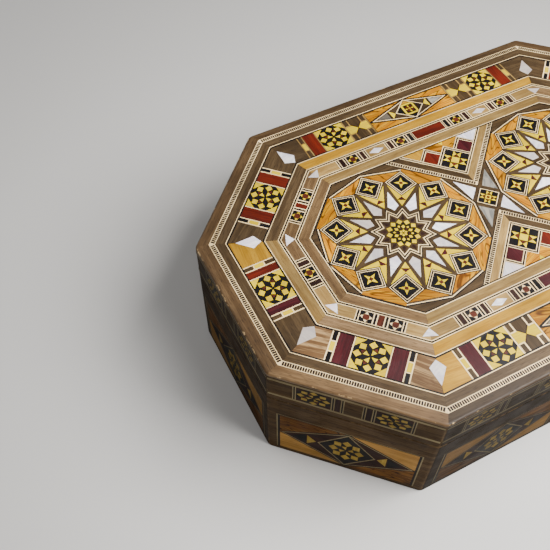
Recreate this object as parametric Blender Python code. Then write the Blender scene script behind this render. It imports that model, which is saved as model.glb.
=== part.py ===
"""Octagonal mosaic box with a lift-off lid, in metres, +Z up, origin at the middle of the underside.

The length runs along X. The box is hollow: mitred wall boards stand round a base board, and the lid
is an octagonal board on a mitred rim. Each wall, each rim board and the lid's top carry a mosaic veneer.
"""

from math import atan2, cos, radians, sin, tan

import bmesh
import bpy
from mathutils import Vector

# Overall sizes
LENGTH = 0.300
WIDTH = 0.196
HEIGHT = 0.080
CORNER_CUT = 0.058  # along each side, taken off by a 45 degree corner
LID_HEIGHT = 0.0235  # from the seam to the top

# Boards and veneers
BOARD = 0.007
BASE_BOARD = 0.006
LID_BOARD = 0.007
VENEER = 0.0015
ARRIS_RADIUS = 0.0011  # rounding of the lid's upper outer edge
ARRIS_STEPS = 3

# Tongue along the walls' inner top edge, which keeps the lid in place
TONGUE_THICKNESS = 0.0030
TONGUE_HEIGHT = 0.0025
TONGUE_CLEARANCE = 0.0005

# Gaps
GLUE_GAP = 0.0003  # between glued faces
SEAT_GAP = 0.0003  # between the lid and the body it rests on

CORNER_TURN = radians(45)
MITRE = CORNER_TURN / 2
SIDES = (
    "front",
    "front_right",
    "right",
    "back_right",
    "back",
    "back_left",
    "left",
    "front_left",
)

SEAM = HEIGHT - LID_HEIGHT
BOARD_OUTSIDE = VENEER + GLUE_GAP
BOARD_INSIDE = BOARD_OUTSIDE + BOARD
LID_BOARD_TOP = HEIGHT - VENEER - GLUE_GAP
RIM_TOP = LID_BOARD_TOP - LID_BOARD - GLUE_GAP


def clear_scene():
    for thing in list(bpy.data.objects):
        bpy.data.objects.remove(thing, do_unlink=True)


def finish(name, colour, roughness):
    material = bpy.data.materials.new(name)
    material.use_nodes = True
    shader = material.node_tree.nodes["Principled BSDF"]
    shader.inputs["Base Color"].default_value = (*colour, 1.0)
    shader.inputs["Roughness"].default_value = roughness
    shader.inputs["Metallic"].default_value = 0.0
    return material


def outline(inset):
    """Corners of the octagon, counter-clockwise from the front side's left end, moved in by inset."""
    x = LENGTH / 2 - inset
    y = WIDTH / 2 - inset
    cut = CORNER_CUT - inset * (1 - tan(MITRE))
    right_half = [(x - cut, -y), (x, cut - y), (x, y - cut), (x - cut, y)]
    corners = right_half + [(-px, -py) for px, py in right_half]
    return corners[-1:] + corners[:-1]


def add_object(name, bm, material, parent):
    bmesh.ops.recalc_face_normals(bm, faces=bm.faces)
    mesh = bpy.data.meshes.new(name)
    bm.to_mesh(mesh)
    bm.free()
    mesh.materials.append(material)
    made = bpy.data.objects.new(name, mesh)
    bpy.context.scene.collection.objects.link(made)
    made.parent = parent
    return made


def add_group(name, height):
    group = bpy.data.objects.new(name, None)
    bpy.context.scene.collection.objects.link(group)
    group.location.z = height
    return group


def saw(bm, point, normal):
    """Cut away what lies beyond a plane and close the cut."""
    bmesh.ops.bisect_plane(
        bm,
        geom=bm.verts[:] + bm.edges[:] + bm.faces[:],
        plane_co=point,
        plane_no=normal,
        clear_outer=True,
    )
    bmesh.ops.holes_fill(bm, edges=[edge for edge in bm.edges if edge.is_boundary], sides=0)


def mitred_board(name, side, section, material, parent):
    """A board along one side, its section given as (inset, height) points and its ends mitred."""
    corners = outline(0)
    start = Vector(corners[side])
    end = Vector(corners[(side + 1) % len(corners)])
    run = (end - start).length
    bm = bmesh.new()
    profile = bm.faces.new([bm.verts.new((-run, inset, height)) for inset, height in section])
    grown = bmesh.ops.extrude_face_region(bm, geom=[profile])["geom"]
    moved = [part for part in grown if isinstance(part, bmesh.types.BMVert)]
    bmesh.ops.translate(bm, verts=moved, vec=(2 * run, 0, 0))
    reach = run / 2 - GLUE_GAP / 2 / cos(MITRE)
    for way in (-1, 1):
        saw(bm, (way * reach, 0, 0), (way * cos(MITRE), sin(MITRE), 0))
    board = add_object(name, bm, material, parent)
    middle = (start + end) / 2
    board.location = (middle.x, middle.y, 0)
    board.rotation_euler.z = atan2(end.y - start.y, end.x - start.x)
    return board


def octagonal_board(name, inset, bottom, top, material, parent, arris=0):
    """A flat board with the box's outline, moved in by inset, with its upper edge rounded."""
    bm = bmesh.new()
    under = bm.faces.new([bm.verts.new((x, y, bottom)) for x, y in outline(inset)])
    grown = bmesh.ops.extrude_face_region(bm, geom=[under])["geom"]
    moved = [part for part in grown if isinstance(part, bmesh.types.BMVert)]
    bmesh.ops.translate(bm, verts=moved, vec=(0, 0, top - bottom))
    if arris:
        upper = [edge for edge in bm.edges if all(vert in moved for vert in edge.verts)]
        bmesh.ops.bevel(
            bm,
            geom=upper,
            offset=arris,
            affect="EDGES",
            segments=ARRIS_STEPS,
            profile=0.5,
            material=-1,
        )
    return add_object(name, bm, material, parent)


def rectangle(near, far, bottom, top):
    return [(near, bottom), (near, top), (far, top), (far, bottom)]


def wall_section():
    shoulder = BOARD_INSIDE - TONGUE_THICKNESS
    return [
        (BOARD_OUTSIDE, 0),
        (BOARD_OUTSIDE, SEAM),
        (shoulder, SEAM),
        (shoulder, SEAM + TONGUE_HEIGHT),
        (BOARD_INSIDE, SEAM + TONGUE_HEIGHT),
        (BOARD_INSIDE, 0),
    ]


def rim_section():
    """A rim board over the wall, rebated over the tongue. Heights are above the seam."""
    rebate = BOARD_INSIDE - TONGUE_THICKNESS - TONGUE_CLEARANCE
    rebate_top = TONGUE_HEIGHT + TONGUE_CLEARANCE
    return [
        (BOARD_OUTSIDE, SEAT_GAP),
        (BOARD_OUTSIDE, RIM_TOP - SEAM),
        (BOARD_INSIDE, RIM_TOP - SEAM),
        (BOARD_INSIDE, rebate_top),
        (rebate, rebate_top),
        (rebate, SEAT_GAP),
    ]


def build_body(wood, mosaic):
    body = add_group("body", 0)
    octagonal_board("base_board", BOARD_INSIDE + GLUE_GAP, 0, BASE_BOARD, wood, body)
    for side, place in enumerate(SIDES):
        mitred_board(f"body_board_{place}", side, wall_section(), wood, body)
        skin = rectangle(0, VENEER, 0, SEAM)
        mitred_board(f"body_veneer_{place}", side, skin, mosaic, body)


def build_lid(wood, mosaic):
    lid = add_group("lid", SEAM)
    board_top = LID_BOARD_TOP - SEAM
    octagonal_board("lid_board", BOARD_OUTSIDE, board_top - LID_BOARD, board_top, wood, lid)
    octagonal_board(
        "lid_top_veneer",
        0,
        LID_HEIGHT - VENEER,
        LID_HEIGHT,
        mosaic,
        lid,
        arris=ARRIS_RADIUS,
    )
    for side, place in enumerate(SIDES):
        mitred_board(f"lid_rim_{place}", side, rim_section(), wood, lid)
        skin = rectangle(0, VENEER, SEAT_GAP, board_top)
        mitred_board(f"lid_veneer_{place}", side, skin, mosaic, lid)


def main():
    clear_scene()
    wood = finish("carcass_wood", (0.30, 0.18, 0.09), 0.55)
    mosaic = finish("mosaic_veneer", (0.36, 0.21, 0.09), 0.35)
    build_body(wood, mosaic)
    build_lid(wood, mosaic)


main()
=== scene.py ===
"""Looks of the octagonal mosaic box: every inlaid tile and string is a small solid of its own wood.

Plan sizes are in millimetres, measured from the middle of the lid. The meshes are made in metres.
"""

import random
from math import atan2, cos, degrees, radians, sin, sqrt, tan

import bmesh
import bpy
from mathutils import Matrix, Vector


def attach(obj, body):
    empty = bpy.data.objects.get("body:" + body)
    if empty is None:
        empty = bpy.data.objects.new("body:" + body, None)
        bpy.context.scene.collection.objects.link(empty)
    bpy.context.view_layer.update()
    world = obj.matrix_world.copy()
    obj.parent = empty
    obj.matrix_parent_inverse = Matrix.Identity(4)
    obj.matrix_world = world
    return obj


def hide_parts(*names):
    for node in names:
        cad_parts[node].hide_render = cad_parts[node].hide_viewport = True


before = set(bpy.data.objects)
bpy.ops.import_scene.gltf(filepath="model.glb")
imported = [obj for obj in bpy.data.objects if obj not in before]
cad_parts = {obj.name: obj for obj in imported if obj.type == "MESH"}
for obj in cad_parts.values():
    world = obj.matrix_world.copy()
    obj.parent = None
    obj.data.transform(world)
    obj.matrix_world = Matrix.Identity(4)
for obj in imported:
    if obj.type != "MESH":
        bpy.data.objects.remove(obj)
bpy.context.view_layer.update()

MM = 0.001
MITRE = radians(22.5)
SIDES = (
    "front",
    "front_right",
    "right",
    "back_right",
    "back",
    "back_left",
    "left",
    "front_left",
)
LONG_SIDES = ("front", "back")
END_SIDES = ("left", "right")

# Box, as in the CAD model
HEIGHT = 80.0
SEAM = 56.5
SEAT_GAP = 0.3
VENEER = 1.5

# Inlay build-up
LAYER = 0.012  # each layer of tiles stands this much above the one under it
GROUND = 0.2  # depth of the ground under the lid's finished surface
WALL_GROUND = 0.11  # the same on the walls
TILE_DEPTH = 0.5
GLUE_RIM = 0.10  # darkened edge of a tile
THIN_RIM = 0.04  # the same on narrow strings
CROWN = 0.008  # how far the polished middle of a tile stands above its edge

# Rounded edges
LID_CORNER_ROUND = 1.6
LID_ARRIS_ROUND = 1.3
WALL_CORNER_ROUND = 1.5
SEAM_ROUND = 0.35

# The lid's pattern, by distance inwards from its outline: the outer and inner edge of each part
TEETH = (5.2, 8.1)
OUTER_BORDER = (8.15, 12.85)
WIDE_BAND = (14.1, 30.3)
SECOND_BORDER = (31.55, 37.25)
NARROW_BAND = (39.0, 45.2)
PANEL_BORDER = (46.95, 52.15)
PANEL_STRINGS = (52.2, 53.3)
TRIPLE_LINES = (37.3, 45.2)  # outer edges of the lines of three strings
WHITE_STRING = 0.45
BLACK_STRING = 0.75
MIDDLE_STRING = 0.8  # the black one of a line of three
PANEL_LAP = 0.6  # how far the panel's ground runs under its strings
STRING_IN_TRIPLE = 0.25  # each white string's share of a short line of three
STAR_PLACE = 52.2  # from the lid's middle to the middle of each great star

# Along the wide band of a long side, from the middle
RHOMBUS_HALF = 26.2
CHECKER_SPAN = (27.1, 40.5)
BLOCK_SPAN = (41.3, 58.4)
RED_SPAN = (59.2, 65.9)
CELLS_SPAN = (66.1, 69.6)
BAND_STRING = 0.7  # width of a string across the band

# Along the wide band of the other sides, from the middle
SHORT_BLOCK_HALF = 8.5
SHORT_STRING = (8.6, 9.2)
SHORT_RED_START = 9.3
END_RED_END = 13.6
CORNER_RED_END = 16.4
CELLS = 3.5  # width of a strip of three cells

# Along the narrow band of a long side, from the middle: lines of three strings and the bars between them
NARROW_LINES = (
    (9.6, 10.8),
    (13.2, 15.4),
    (21.8, 24.0),
    (26.4, 28.0),
    (39.8, 41.5),
    (43.8, 45.9),
    (52.3, 54.2),
    (56.9, 58.6),
)
NARROW_BARS = (
    ("ebony", 10.8, 13.2),
    ("rosewood_dark", 24.0, 26.4),
    ("rosewood_dark", 41.5, 43.8),
    ("rosewood_dark", 54.2, 56.9),
)

# Layers that the parts of the lid's pattern lie on, over their neighbours' ends
BORDER_LAYER = 8
PANEL_EDGE_LAYER = 14

# Wall pattern
PANEL_MIDDLE = 22.4  # height of a body panel's middle
PANEL_HALF = 18.9  # half its height
PANEL_SIDE = 6.2  # from the end of a short wall to its panel
LONG_PANEL_PLACE = 49.6  # from the middle of a long wall to the middle of its panel
LONG_PANEL_HALF = 34.9  # half the panel's length
LID_PANEL_MIDDLE = 69.2
LID_PANEL_HALF = 6.25
LID_STRINGS = (76.3, 62.1)  # heights of the strings along the lid's walls
LID_STRING_HALF = 0.8
LONG_BLOCKS = (71.4, 29.7)  # rosette blocks of a lid wall, from its middle
SHORT_BLOCKS = (18.6,)

# How light the timber of each side is drawn, from 0 to 1, in the order of SIDES: painted light and shade for
# how the light falls on each side
BORDER_PAINTED_SHADE = (-0.1, 0.3, 0.35, 0.3, 0.16, 0.24, 0.3, 0.72)
WALL_PAINTED_SHADE = (-0.15, 0.45, 0.45, 0.5, 0.45, 0.45, 0.07, 0.59)

SAME_HEIGHT = 0.01  # less than this between two heights makes them one
OUTSIDE = 0.6  # nearer than this to the outline, a ring's edge is an outer one
NARROW_WOODS = ("cream", "cream_aged", "tooth")  # cut so narrow that their glue line is thin

rng = random.Random(48)
trays = {}  # tiles waiting to be cut, by part and wood, then by face


class Octagon:
    """A long octagon with 45 degree corners. Its sides run counter-clockwise from the front."""

    def __init__(self, half_length, half_width, cut):
        self.half_length = half_length
        self.half_width = half_width
        self.cut = cut

    def corners(self, inset=0.0):
        x = self.half_length - inset
        y = self.half_width - inset
        cut = self.cut - inset * (1 - tan(MITRE))
        right_half = [(x - cut, -y), (x, cut - y), (x, y - cut), (x - cut, y)]
        points = right_half + [(-px, -py) for px, py in right_half]
        return points[-1:] + points[:-1]

    def side(self, number, inset=0.0):
        """The middle, direction and half length of one side."""
        points = self.corners(inset)
        start = Vector(points[number])
        end = Vector(points[(number + 1) % 8])
        return (start + end) / 2, (end - start).normalized(), (end - start).length / 2


BOX = Octagon(150.0, 98.0, 58.0)
PATTERN = Octagon(148.4, 98.1, 57.7)  # outline that the lid's strings and bands keep to


# Laying tiles


class Spot:
    """A flat place on the box: x along it, y across it, in millimetres, and how many layers up it is."""

    def __init__(self, face, matrix=None, layer=0):
        self.face = face
        self.matrix = matrix or Matrix()
        self.layer = layer

    def move(self, x, y=0.0, turn=0.0, stretch=(1.0, 1.0)):
        step = Matrix.Translation((x, y, 0)) @ Matrix.Rotation(radians(turn), 4, "Z")
        step = step @ Matrix.Diagonal((stretch[0], stretch[1], 1, 1))
        return Spot(self.face, self.matrix @ step, self.layer)

    def lean(self, first, second):
        """The same place with its two directions leant to the given vectors."""
        step = Matrix(((first[0], second[0], 0, 0), (first[1], second[1], 0, 0), (0, 0, 1, 0), (0, 0, 0, 1)))
        return Spot(self.face, self.matrix @ step, self.layer)

    def up(self, layers=1):
        return Spot(self.face, self.matrix, self.layer + layers)

    def both_ways(self):
        """The place and its mirror image, left to right."""
        return self, self.move(0, stretch=(-1, 1))

    def lay(self, wood, corners, grain=0.0):
        """Lay one tile, its grain at an angle in degrees to this place's x."""
        points = [(self.matrix @ Vector((x, y, 0))).to_2d() for x, y in corners]
        along = (self.matrix.to_3x3() @ Vector((cos(radians(grain)), sin(radians(grain)), 0))).to_2d()
        tile = (points, self.layer, along.normalized())
        trays.setdefault((self.face[0], wood), {}).setdefault(self.face, []).append(tile)


def signed_area(points):
    return sum(a[0] * b[1] - b[0] * a[1] for a, b in zip(points, points[1:] + points[:1])) / 2


def shrink(points, width):
    """Corners of an outline moved in by a width, each edge staying parallel to itself."""
    points = [Vector(point) for point in points]
    turn = 1 if signed_area(points) > 0 else -1
    inner = []
    for before, here, after in zip(points[-1:] + points[:-1], points, points[1:] + points[:1]):
        first = (here - before).normalized()
        second = (after - here).normalized()
        first_in = Vector((-first.y, first.x)) * turn
        second_in = Vector((-second.y, second.x)) * turn
        inner.append(here + (first_in + second_in) * width / (1 + first_in.dot(second_in)))
    return [tuple(point) for point in inner]


def nest(spot, corners, rings, grain=0.0):
    """Outlines inside one another, given as (wood, width). The last one fills what is left."""
    for wood, width in rings:
        spot.lay(wood, corners, grain)
        spot = spot.up()
        corners = shrink(corners, width)
    return spot


def rectangle(x0, x1, y0, y1):
    return [(x0, y0), (x1, y0), (x1, y1), (x0, y1)]


def polar(radius, angle):
    return (radius * cos(radians(angle)), radius * sin(radians(angle)))


def regular(count, radius, first=0.0):
    return [polar(radius, first + 360 * step / count) for step in range(count)]


def diamond(half_length, half_height):
    return [(half_length, 0), (0, half_height), (-half_length, 0), (0, -half_height)]


# Motifs


def rosette(spot, half_width, half_height, corner_wood="lemon", petals="lemon"):
    """A square block with eight yellow squares round a pinwheel, on black."""
    size = 8.1
    spot = spot.move(0, stretch=(half_width / size, half_height / size))
    spot.lay(corner_wood, rectangle(-size, size, -size, size), 45)
    spot.up().lay("ebony", regular(8, size / cos(MITRE), 22.5))
    top = spot.up(2)
    for step in range(8):
        angle = 45 * step
        top.move(*polar(6.05, angle), turn=angle).lay(petals, diamond(2.0, 2.0), 45)
    for step in range(4):
        blade = top.move(0, turn=67.5 + 90 * step)
        blade.lay(petals, [(0.5, 0.0), (3.2, -1.35), (3.4, 1.1)], 60)
        blade.lay("rosewood", [(3.55, -1.3), (5.3, -0.1), (3.65, 1.1)], 20)


SMALL_PETAL = ((0.38, -0.38), (0.9, -0.08), (0.9, 0.08), (0.38, 0.38))  # as shares of the block's half width


def small_block(spot, half, petals):
    """A small black block with four pale petals round a red-brown middle."""
    spot.lay("ebony", rectangle(-half, half, -half, half))
    for step in range(4):
        petal = spot.up().move(0, turn=90 * step)
        petal.lay(petals, [(half * p, half * q) for p, q in SMALL_PETAL], 45)
    spot.up(2).lay("rosewood", regular(8, half * 0.58, 22.5), 30)


def three_cells(spot, half, ends, string):
    """A crosswise strip of three cells between pale strings."""
    spot.lay(string, rectangle(-CELLS / 2, CELLS / 2, -half, half), 90)
    long_cell = (2 * half - 1.2) / 3
    for step, wood in ((-1, ends), (0, "lemon"), (1, ends)):
        low = step * (long_cell + 0.6) - long_cell / 2
        spot.up().lay(wood, rectangle(-1.1, 1.1, low, low + long_cell), 90)


def checker(spot, half_width, half_height, string):
    """Brown hexagons above and below two yellow ones that meet point to point."""
    spot.lay("rosewood_dark", rectangle(-half_width, half_width, -half_height, half_height), 90)
    top = spot.up()
    for way in top.both_ways():
        way.lay("lemon", [(0.1, 0), (3.2, 3.3), (half_width, 3.3), (half_width, -3.3), (3.2, -3.3)])
        for up in (1, -1):
            corner = way.move(0, stretch=(1, up)).up()
            corner.lay(string, rectangle(3.3, half_width, 2.9, half_height))
            corner.up().lay("walnut_dark", rectangle(4.1, half_width - 0.2, 3.6, half_height), 90)
    for up in (1, -1):
        brown = spot.move(0, stretch=(1, up)).up(2)
        pentagon = [(-3.1, half_height), (-3.1, 4.2), (0, 0.6), (3.1, 4.2), (3.1, half_height)]
        brown.lay("walnut_dark", pentagon, 90)


def long_rhombus(spot, half_length, half_height):
    """The long field in the middle of a long side: a rhombus in olive wood, with a block at its heart."""
    spot.lay("ebony", rectangle(-half_length, half_length, -half_height, half_height))
    for x in (-1, 1):
        for y in (-1, 1):
            end, edge = x * half_length, y * half_height
            corner = [(end, y * 0.5), (end, edge), (x * 1.4, edge)]
            spot.up().lay("olive", shrink(corner, 0.12), 8 * x * y + rng.uniform(-12, 12))
    rings = (("ebony", 0.4), ("cream", 0.5), ("walnut_dark", 0))
    inner = nest(spot.up(), diamond(half_length, half_height), rings, 10)
    for side in inner.both_ways():
        side.lay("pearl_grey", [(13.7, -2.7), (21.6, 0), (13.7, 2.7)])
        side.up().lay("lemon", [(12.4, -3.3), (12.4, 3.3), (9.4, 0)], 90)
        side.lay("rosewood_dark", rectangle(12.5, 13.5, -3.2, 3.2), 90)
    heart = nest(inner.up(), diamond(9.3, half_height), (("cream", 0.5), ("ebony", 0.0)))
    heart.lay("golden", [(-3.4, -4.6), (0, -6.6), (3.4, -4.6)], 0)
    heart.lay("rosewood_dark", [(-4.6, -2.4), (-4.6, 2.4), (-7.0, 0)], 90)
    right_half = [(3.2, -4.4), (4.1, -3.4), (4.1, 3.4), (3.2, 4.4)]
    cut_block = right_half + [(-x, -y) for x, y in right_half]
    core = nest(heart.up(), cut_block, (("lemon", 1.2), ("ebony", 0)), 45)
    for step in range(4):
        core.move(*polar(1.9, 45 + 90 * step), turn=45).lay("padauk", rectangle(-0.65, 0.65, -0.65, 0.65))
        core.move(*polar(1.9, 90 * step), turn=90 * step).lay("lemon", diamond(1.0, 0.6))
    core.lay("golden", rectangle(-0.7, 0.7, -0.7, 0.7), 45)


def star_tile(spot, half_diagonal):
    """One of the twelve tiles: a black square in a double white frame, with a four-point yellow star."""
    rings = (("ebony", 0.5), ("cream", 0.34), ("ebony", 0.72), ("cream", 0.34), ("ebony", 0))
    top = nest(spot, diamond(half_diagonal, half_diagonal), rings)
    star = []
    for step in range(4):
        star += [polar(3.95, 90 * step), polar(1.35, 45 + 90 * step)]
    top.lay("lemon", star, 45)
    top.up().lay("rosewood", rectangle(-0.9, 0.9, -0.9, 0.9), rng.uniform(0, 90))


def zigzag(points, tips, notches):
    outline = []
    for step in range(points):
        outline += [polar(tips, 360 * step / points), polar(notches, 360 * (step + 0.5) / points)]
    return outline


def star_heart(spot):
    """The zigzag star of strings round the small flower in the middle."""
    rings = (("ebony", 0.5), ("cream", 0.45), ("ebony", 0.8), ("cream", 0.5), ("walnut_dark", 0))
    top = nest(spot, zigzag(12, 17.6, 12.9), rings, 40)
    top.lay("ebony", regular(12, 6.9))
    top = top.up()
    for step in range(12):
        angle = 15 + 30 * step
        top.move(*polar(7.25, angle), turn=angle).lay("lemon", diamond(1.65, 1.65), 45)
        point = top.move(0, turn=30 * step)
        point.lay("rosewood_dark", [(9.3, -1.05), (12.0, 0), (9.3, 1.05), (8.3, 0)], 10)
    for step in range(6):
        petal = top.move(0, turn=60 * step)
        petal.move(4.1).lay("lemon", diamond(1.3, 1.05), 45)
        petal.lay("lemon", [(0.35, 0), (1.5, 0.75), (2.4, 0), (1.5, -0.75)], 45)
        between = petal.move(0, turn=30)
        between.lay("lemon", [(3.65, 0), (4.6, 0.75), (5.4, 0), (4.6, -0.75)], 45)
        between.lay("rosewood", [(2.3, 0), (3.3, 0.6), (3.3, -0.6)])


def panel_star(spot):
    """The great twelve-fold star of one half of the lid."""
    outline = regular(12, 44.4)
    inner = nest(spot, outline, (("ebony", 0.7), ("cream", 0.55), ("walnut_dark", 0)))
    for step in range(12):
        piece = inner.move(0, turn=30 * step)
        diagonal = step % 3 == 1  # faces a corner side of the box, where the olive covers the strings
        olive = [polar(42.35, 0), polar(42.35, 30), polar(35.2, 16.6), polar(35.2, 13.4)]
        if diagonal:
            lift = Vector(polar(1.9, 15))
            olive = [olive[0], tuple(Vector(olive[0]) + lift), tuple(Vector(olive[1]) + lift)] + olive[1:]
        piece.lay("olive", shrink(olive, 0.1), 105 + rng.uniform(-35, 35))
    for step in range(12):
        ray = inner.move(0, turn=30 * step)
        arrow = [polar(17.7, 0), polar(34.2, 14.2), (25.4, 0), polar(34.2, -14.2)]
        ray.lay("walnut_dark", [polar(17.9, 0), polar(12.4, 15), polar(17.9, 30), polar(34.0, 15)], 15)
        ray.up().lay("lemon", shrink(arrow, 0.2), rng.choice((-25, 25)))
        ray.up(2).lay("maroon", [(24.5, 0), (22.0, 2.5), (22.0, -2.5)], 90)
        shell = [(28.6, 0), polar(18.3, 9.6), (15.0, 0), polar(18.3, -9.6)]
        ray.move(0, turn=15).up(2).lay("pearl", shrink(shell, 0.08), rng.uniform(0, 180))
        star_tile(ray.move(33.9).up(2), 9.05)
    star_heart(inner.up(2))


def nine_block(spot, half):
    """Nine cells: black squares at the corners, quartered ones between, a yellow one in the middle."""
    cell = half * 2 / 3
    spot.lay("ebony", rectangle(-half, half, -half, half))
    top = spot.up()
    small = cell * 0.47
    top.lay("lemon", rectangle(-small, small, -small, small), 45)
    for step in range(4):
        quartered = top.move(0, turn=90 * step).move(cell)
        for way in (1, -1):
            side = quartered.move(0, stretch=(1, way))
            side.lay("lemon", [(-small, small), (small, small), (0, 0.1)], 30 * way)
        quartered.lay("rosewood", [(-small, small * 0.85), (-0.1, 0), (-small, -small * 0.85)], 10)


def toothed(spot, start, end, width, pitch):
    """A row of dark teeth on a white string, from one x to another."""
    count = int((end - start - 0.5) / pitch)
    first = (start + end) / 2 - pitch * (count - 1) / 2
    tall = width * 0.41
    for step in range(count):
        x = first + step * pitch
        half = pitch * rng.uniform(0.36, 0.43)
        lean = rng.uniform(-0.06, 0.06)
        foot = [(x - half - lean, -tall), (x + half - lean, -tall)]
        tip = [(x + half + lean, tall), (x - half + lean, tall)]
        spot.lay("tooth", foot + tip, 90)


# Lid top


def band_side(number):
    """A place on the lid at the middle of one side of the pattern's outline, y pointing inwards."""
    middle, along, _ = PATTERN.side(number)
    turn = Matrix.Rotation(atan2(along.y, along.x), 4, "Z")
    return Spot(("lid_top", 0), Matrix.Translation((middle.x, middle.y, 0)) @ turn)


def centred(spot, span):
    """The middle of a span along x, and half its length."""
    near, far = span
    return spot.move((near + far) / 2), (far - near) / 2


def reach(number, inset):
    """Half the length of one side of the pattern's outline, moved in by inset."""
    return PATTERN.side(number, inset)[2]


def ring(near, far, wood, layer):
    """A string or border round the lid between two distances from the outline, mitred at the corners.

    The wood is a name, or a function that gives the name for a side's number.
    """
    for number in range(8):
        chosen = wood(number) if callable(wood) else wood
        a, b = reach(number, near), reach(number, far)
        band_side(number).up(layer).lay(chosen, [(-a, near), (a, near), (b, far), (-b, far)])


def red_wood(side, way):
    """The crosswise bars are maroon towards the front and orange-red towards the back."""
    if side in END_SIDES:
        return "maroon" if (way > 0) == (side == "left") else "padauk"
    return "maroon" if side.startswith("front") else "padauk"


FIELD_WOODS = {
    "front": "golden",
    "front_left": "streaked",
    "front_right": "streaked",
    "back": "walnut_mid",
    "back_left": "walnut_mid",
    "back_right": "walnut_mid",
}


def wide_band(number):
    side = SIDES[number]
    outer, inner = WIDE_BAND
    half = (inner - outer) / 2
    place = band_side(number).move(0, (outer + inner) / 2).up()
    string = "hazel" if side == "back" else "cream"

    def across(spot, wood, near, far):
        spot.lay(wood, rectangle(near, far, -half, half), 90)

    for way, spot in zip((1, -1), place.both_ways()):
        red = red_wood(side, way)
        ends = "walnut_dark" if side in LONG_SIDES + END_SIDES else "ebony"
        if side in LONG_SIDES:
            rosette(*centred(spot, BLOCK_SPAN), half)
            across(spot, string, BLOCK_SPAN[1], BLOCK_SPAN[1] + BAND_STRING)
            across(spot, string, BLOCK_SPAN[0] - BAND_STRING, BLOCK_SPAN[0])
            across(spot, red, *RED_SPAN)
            cells, _ = centred(spot, CELLS_SPAN)
            three_cells(cells, half, ends, string)
            checker(*centred(spot, CHECKER_SPAN), half, string)
            string_start = RHOMBUS_HALF + 0.1
            across(spot, string, string_start, string_start + BAND_STRING)
            field = CELLS_SPAN[1]
        else:
            red_end = END_RED_END if side in END_SIDES else CORNER_RED_END
            across(spot, string, *SHORT_STRING)
            across(spot, red, SHORT_RED_START, red_end)
            three_cells(spot.move(red_end + CELLS / 2), half, ends, string)
            field = red_end + CELLS
        near, far = reach(number, outer), reach(number, inner)
        if side in END_SIDES:
            wood = "walnut_mid" if (way > 0) == (side == "left") else "golden"
        else:
            wood = FIELD_WOODS[side]
        corner = [(field, -half), (near, -half), (far, half), (field, half)]
        spot.lay(wood, shrink(corner, 0.05), rng.uniform(-8, 8))
    if side in LONG_SIDES:
        long_rhombus(place, RHOMBUS_HALF, half)
    else:
        rosette(place, SHORT_BLOCK_HALF, half)


def narrow_band(number):
    side = SIDES[number]
    outer, inner = NARROW_BAND
    half = (inner - outer) / 2
    place = band_side(number).move(0, (outer + inner) / 2).up()
    petals = "cream" if side.startswith("front") else "lemon"

    def triple(spot, near, far):
        string = (far - near) * STRING_IN_TRIPLE
        spot.lay("cream", rectangle(near, far, -half, half), 90)
        spot.up().lay("ebony", rectangle(near + string, far - string, -half, half), 90)

    for spot in place.both_ways():
        if side in LONG_SIDES:
            for near, far in NARROW_LINES:
                triple(spot, near, far)
            small_block(spot.move(18.6), half, petals)
            small_block(spot.move(49.1), half, petals)
            for wood, near, far in NARROW_BARS:
                spot.lay(wood, rectangle(near, far, -half, half), 90)
            spot.lay("hazel", rectangle(28.0, 39.8, -half, half), rng.uniform(-5, 5))
            spot.move(34.3).up().lay("pearl", diamond(4.6, 2.1))
            field = 58.6
        elif side in END_SIDES:
            triple(spot, 3.1, 5.1)
            spot.lay("rosewood_dark", rectangle(5.1, 7.8, -half, half), 90)
            triple(spot, 7.8, 9.6)
            field = 9.6
        else:
            triple(spot, 1.5, 3.9)
            small_block(spot.move(7.1), half, petals)
            triple(spot, 10.3, 12.2)
            field = 12.2
        near, far = reach(number, outer), reach(number, inner)
        back_end = side.startswith("back_") or (side in END_SIDES and (spot is place) != (side == "left"))
        wood = "walnut_warm" if back_end else "hazel"
        spot.lay(wood, [(field, -half), (near, -half), (far, half), (field, half)], rng.uniform(-5, 5))
    if side in LONG_SIDES:
        place.lay("padauk" if side == "back" else "maroon", rectangle(-9.6, 9.6, -half, half))
    elif side in END_SIDES:
        small_block(place, half, petals)
    else:
        bar_wood = "padauk" if side.startswith("back") else "rosewood"
        place.lay(bar_wood, rectangle(-1.5, 1.5, -half, half), 90)


def corner_shells(number):
    """Pearl on the mitre at the left end of one side: a kite in the wide band, a wedge in the narrow."""
    along = PATTERN.side(number)[1]
    angle = degrees(atan2(along.y, along.x)) + 67.5
    for inset, shape in (
        (WIDE_BAND[0], [(3.8, 0), (13.0, 3.9), (17.0, 0.2), (13.0, -3.9)]),
        (NARROW_BAND[0], [(2.3, 3.9), (2.3, -3.9), (6.8, 0)]),
    ):
        x, y = PATTERN.corners(inset)[number]
        Spot(("lid_top", 0)).move(x, y, turn=angle).up(2).lay("pearl", shape, rng.uniform(0, 180))


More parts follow.
